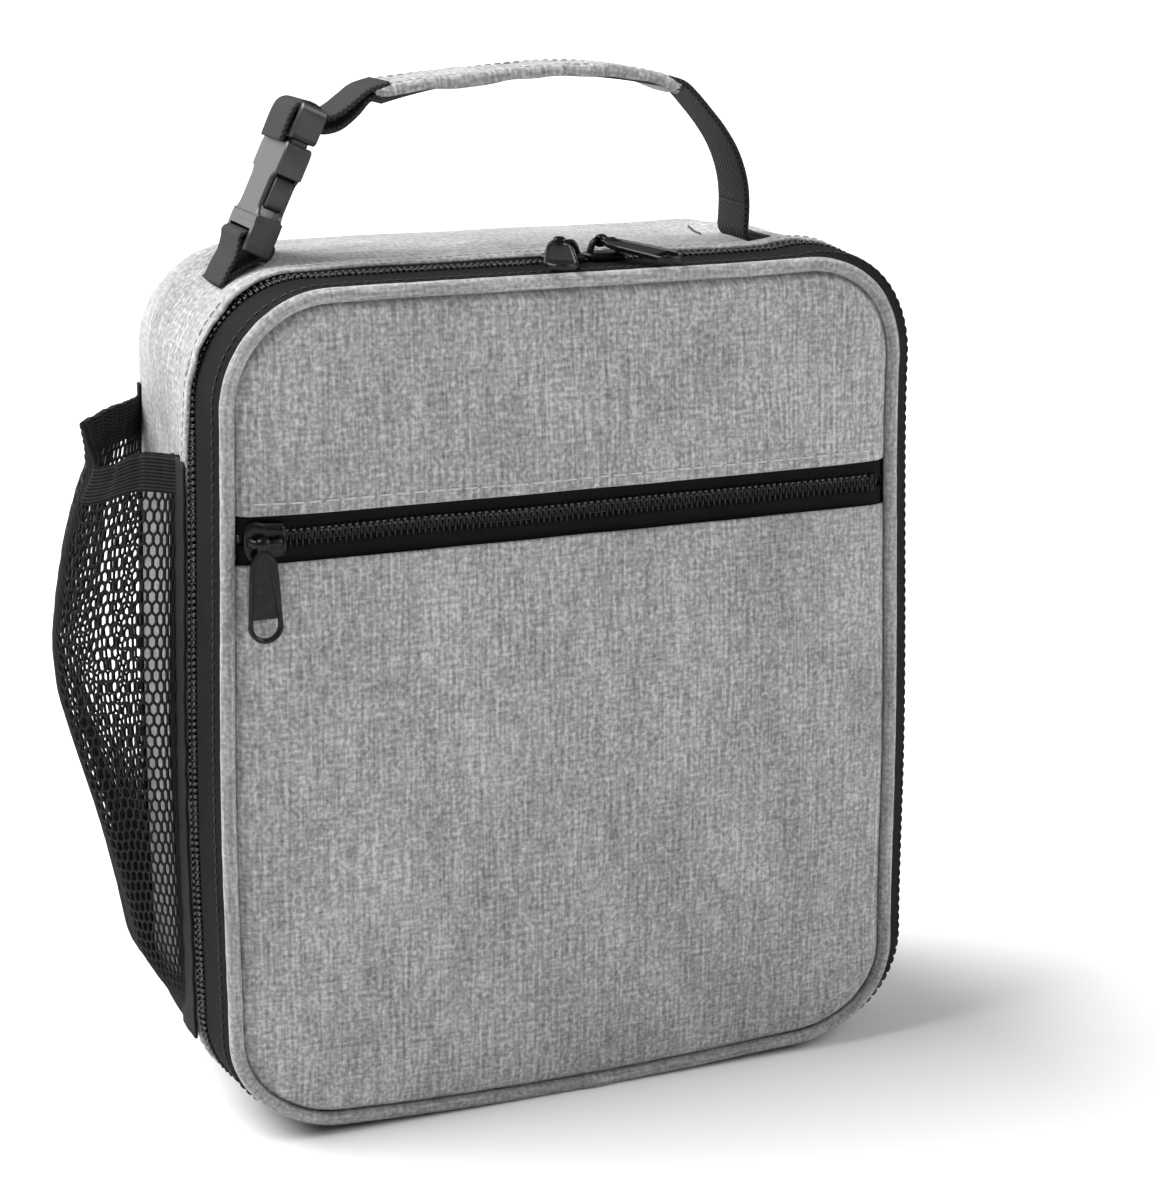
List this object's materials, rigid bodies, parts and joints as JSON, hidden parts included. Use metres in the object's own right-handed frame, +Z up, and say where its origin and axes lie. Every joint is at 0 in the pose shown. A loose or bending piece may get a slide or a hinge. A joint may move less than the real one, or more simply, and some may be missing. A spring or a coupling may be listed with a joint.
{
  "type": "lunch box",
  "caption": "Soft insulated upright lunch bag with a zipped fold-down front, zipped front pocket, side net pocket and a webbing grip handle with side-release buckle.",
  "frame": {"origin": "on the floor, in the middle of the body's width and depth", "axes": "+Z up; the zipped front faces -Y; the net pocket is on the -X side"},
  "size_m": [0.2484, 0.1067, 0.304],
  "materials": {
    "grey_fabric": "matte woven",
    "piping_fabric": "matte woven",
    "foam": "closed-cell foam",
    "foil_lining": "satin foil film",
    "black_binding": "ribbed tape",
    "zip_tape": "twill tape",
    "zip_coil": "moulded coil",
    "zip_metal": "gloss black paint",
    "webbing": "woven webbing",
    "buckle_plastic": "satin moulded",
    "net": "open hexagonal net"
  },
  "bodies": {
    "bag_body": {"side_panel": "grey_fabric", "bottom_panel": "grey_fabric", "back_panel": "grey_fabric", "side_foam": "foam", "bottom_foam": "foam", "back_foam": "foam", "side_lining": "foil_lining", "bottom_lining": "foil_lining", "back_lining": "foil_lining", "back_seam_binding": "black_binding", "opening_binding": "black_binding", "main_zip_tape_body": "zip_tape", "main_zip_coil_body": "zip_coil", "main_zip_end_stops": "zip_metal", "handle_anchor_left": "webbing", "handle_anchor_right": "webbing", "net_pocket": "net", "net_pocket_elastic": "black_binding"},
    "door": {"upper_front_panel": "grey_fabric", "pocket_front_panel": "grey_fabric", "pocket_back_panel": "grey_fabric", "door_foam": "foam", "door_lining": "foil_lining", "door_seam_binding": "black_binding", "front_piping": "piping_fabric", "main_zip_tape_door": "zip_tape", "main_zip_coil_door": "zip_coil", "pocket_zip_tape_upper": "zip_tape", "pocket_zip_tape_lower": "zip_tape", "pocket_zip_coil_upper": "zip_coil", "pocket_zip_coil_lower": "zip_coil", "pocket_zip_end_stops": "zip_metal"},
    "left_slider": {"main_slider_left": "zip_metal"},
    "right_slider": {"main_slider_right": "zip_metal"},
    "front_slider": {"pocket_slider": "zip_metal"},
    "left_pull": {"main_pull_left": "zip_metal"},
    "right_pull": {"main_pull_right": "zip_metal"},
    "front_pull": {"pocket_pull": "zip_metal"},
    "handle": {"buckle_socket": "buckle_plastic", "socket_webbing_loop": "webbing", "handle_webbing_leg": "webbing"},
    "grip": {"buckle_plug": "buckle_plastic", "plug_webbing": "webbing", "grip_sleeve": "grey_fabric", "grip_webbing_core": "webbing"},
    "front_latch": {"latch_arm_front": "buckle_plastic"},
    "back_latch": {"latch_arm_back": "buckle_plastic"}
  },
  "joints": [
    {"name": "door_hinge", "type": "hinge", "parent": "bag_body", "child": "door", "pos_m": [0, -0.048, 0.002], "axis": [1, 0, 0], "range_deg": [0, 87]},
    {"name": "left_slider_run", "type": "slide", "parent": "bag_body", "child": "left_slider", "axis": [-1, 0, 0], "range_m": [0, 0.06]},
    {"name": "right_slider_run", "type": "slide", "parent": "bag_body", "child": "right_slider", "axis": [1, 0, 0], "range_m": [0, 0.045]},
    {"name": "left_pull_lift", "type": "hinge", "parent": "left_slider", "child": "left_pull", "pos_m": [0.004, -0.027, 0.2556], "axis": [-1, 0, 0], "range_deg": [0, 160]},
    {"name": "right_pull_lift", "type": "hinge", "parent": "right_slider", "child": "right_pull", "pos_m": [0.017, -0.027, 0.2556], "axis": [-1, 0, 0], "range_deg": [0, 100]},
    {"name": "front_slider_run", "type": "slide", "parent": "door", "child": "front_slider", "axis": [1, 0, 0], "range_m": [0, 0.176]},
    {"name": "front_pull_lift", "type": "hinge", "parent": "front_slider", "child": "front_pull", "pos_m": [-0.0935, -0.0546, 0.182], "axis": [-1, 0, 0], "range_deg": [0, 170]},
    {"name": "handle_swing", "type": "hinge", "parent": "bag_body", "child": "handle", "pos_m": [0, -0.002, 0.25], "axis": [1, 0, 0], "range_deg": [-12, 12]},
    {"name": "buckle_release", "type": "slide", "parent": "handle", "child": "grip", "axis": [0.4274, 0, 0.9041], "range_m": [0, 0.026]},
    {"name": "front_latch_squeeze", "type": "hinge", "parent": "grip", "child": "front_latch", "pos_m": [-0.06768, -0.01075, 0.28559], "axis": [0.9041, 0, -0.4274], "range_deg": [0, 9], "stiffness_Nm_per_rad": 0.1},
    {"name": "back_latch_squeeze", "type": "hinge", "parent": "grip", "child": "back_latch", "pos_m": [-0.06768, 0.00675, 0.28559], "axis": [-0.9041, 0, 0.4274], "range_deg": [0, 9], "stiffness_Nm_per_rad": 0.1}
  ],
  "couplings": [
    {"joint": "back_latch_squeeze", "follows": "front_latch_squeeze", "ratio": 1}
  ]
}
